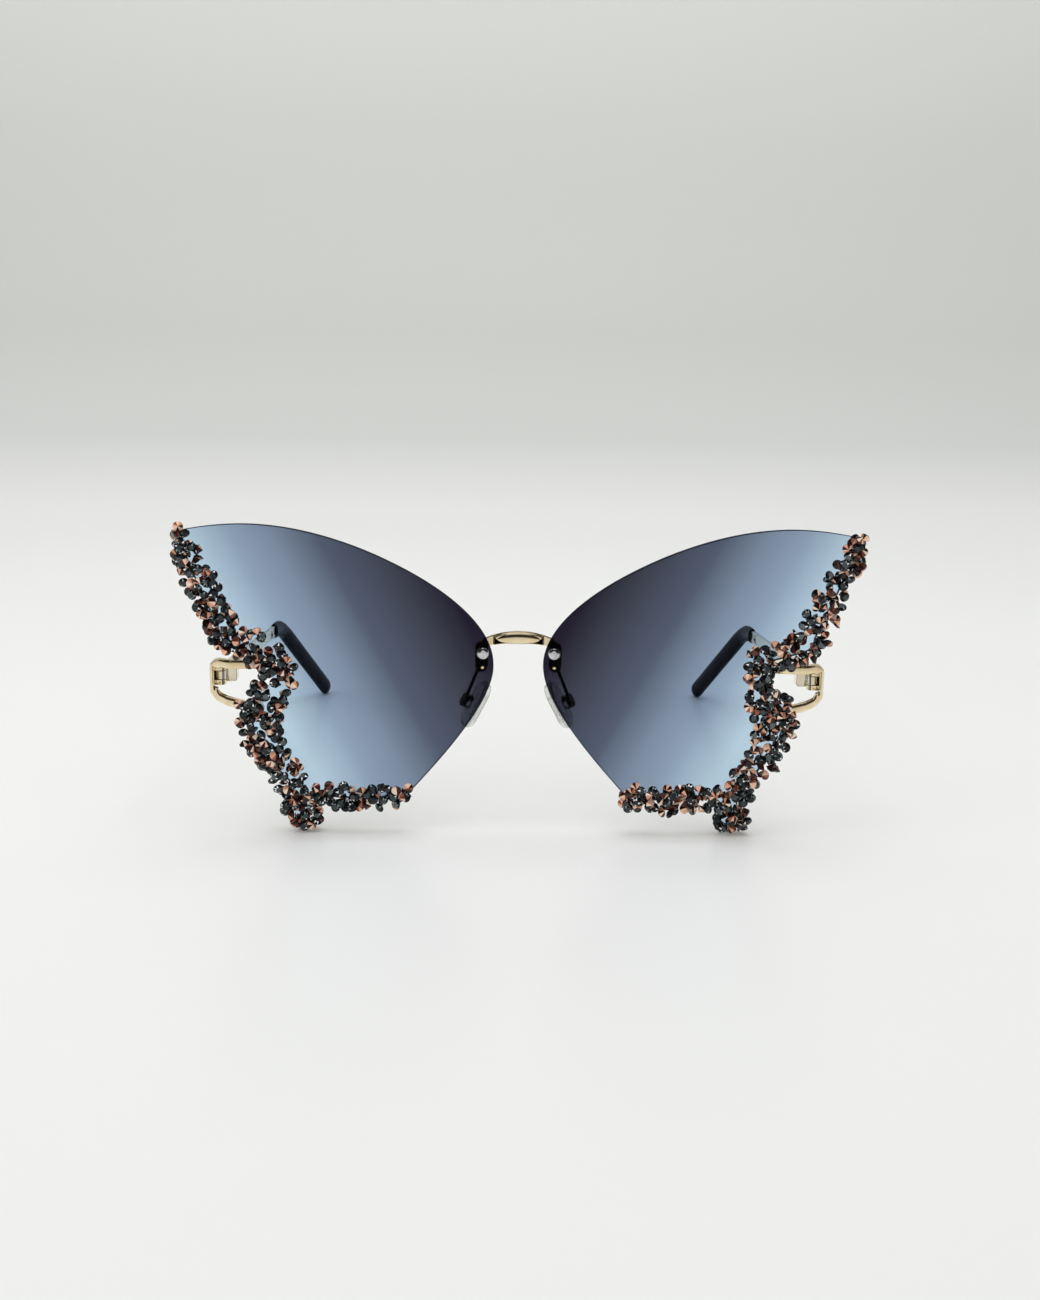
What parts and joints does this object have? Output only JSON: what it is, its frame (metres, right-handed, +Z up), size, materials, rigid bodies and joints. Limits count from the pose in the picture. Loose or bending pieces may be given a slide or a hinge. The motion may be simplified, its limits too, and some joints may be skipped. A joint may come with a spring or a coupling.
{
  "type": "butterfly sunglasses",
  "caption": "Rimless butterfly sunglasses with tinted drilled lenses, crystal-crusted wing edges, arched metal bridge, nose pads and folding temples.",
  "frame": {"origin": "on the ground, under the middle of the glasses' overall box", "axes": "+X to the wearer's left, +Y from the lenses back towards the ears, +Z up; the glasses stand open on the lens tails and the temple tips"},
  "size_m": [0.1658, 0.14, 0.0756],
  "materials": {
    "lens_tint": "grey-blue tint, darkest near the bridge, polished",
    "gold_metal": "pale gold plate, polished",
    "temple_metal": "pale gold plate, polished",
    "screw_steel": "polished",
    "clear_washer": "clear",
    "arm_wire": "dark plated wire",
    "pad_silicone": "clear soft silicone",
    "tip_plastic": "black, glossy",
    "crystal": "foil-backed cut glass, dark crowns and rose gold backs"
  },
  "bodies": {
    "front": {"bridge": "gold_metal", "lens_left": "lens_tint", "bridge_screw_left": "screw_steel", "bridge_washer_left": "clear_washer", "bridge_nut_left": "screw_steel", "nose_pad_arm_left": "arm_wire", "nose_pad_screw_left": "screw_steel", "endpiece_left": "gold_metal", "endpiece_screws_left": "screw_steel", "endpiece_washers_left": "clear_washer", "endpiece_nuts_left": "screw_steel", "hinge_screw_left": "screw_steel", "crystals_wing_left": "crystal", "crystals_bay_left": "crystal", "crystals_side_left": "crystal", "crystals_tail_left": "crystal", "crystals_hem_left": "crystal", "lens_right": "lens_tint", "bridge_screw_right": "screw_steel", "bridge_washer_right": "clear_washer", "bridge_nut_right": "screw_steel", "nose_pad_arm_right": "arm_wire", "nose_pad_screw_right": "screw_steel", "endpiece_right": "gold_metal", "endpiece_screws_right": "screw_steel", "endpiece_washers_right": "clear_washer", "endpiece_nuts_right": "screw_steel", "hinge_screw_right": "screw_steel", "crystals_wing_right": "crystal", "crystals_bay_right": "crystal", "crystals_side_right": "crystal", "crystals_tail_right": "crystal", "crystals_hem_right": "crystal"},
    "temple_left": {"temple_left": "temple_metal", "temple_tip_left": "tip_plastic"},
    "nose_pad_left": {"nose_pad_left": "pad_silicone"},
    "temple_right": {"temple_right": "temple_metal", "temple_tip_right": "tip_plastic"},
    "nose_pad_right": {"nose_pad_right": "pad_silicone"}
  },
  "joints": [
    {"name": "temple_left_fold", "type": "hinge", "parent": "front", "child": "temple_left", "pos_m": [0.07309, -0.05672, 0.0373], "axis": [0, 0, 1], "range_deg": [0, 84]},
    {"name": "nose_pad_left_rock", "type": "hinge", "parent": "front", "child": "nose_pad_left", "pos_m": [0.0126, -0.05792, 0.0316], "axis": [0.2156, 0.9703, 0.1098], "range_deg": [-8, 8]},
    {"name": "temple_right_fold", "type": "hinge", "parent": "front", "child": "temple_right", "pos_m": [-0.07309, -0.05672, 0.0373], "axis": [0, 0, -1], "range_deg": [0, 76]},
    {"name": "nose_pad_right_rock", "type": "hinge", "parent": "front", "child": "nose_pad_right", "pos_m": [-0.0126, -0.05792, 0.0316], "axis": [0.2156, -0.9703, -0.1098], "range_deg": [-8, 8]}
  ]
}
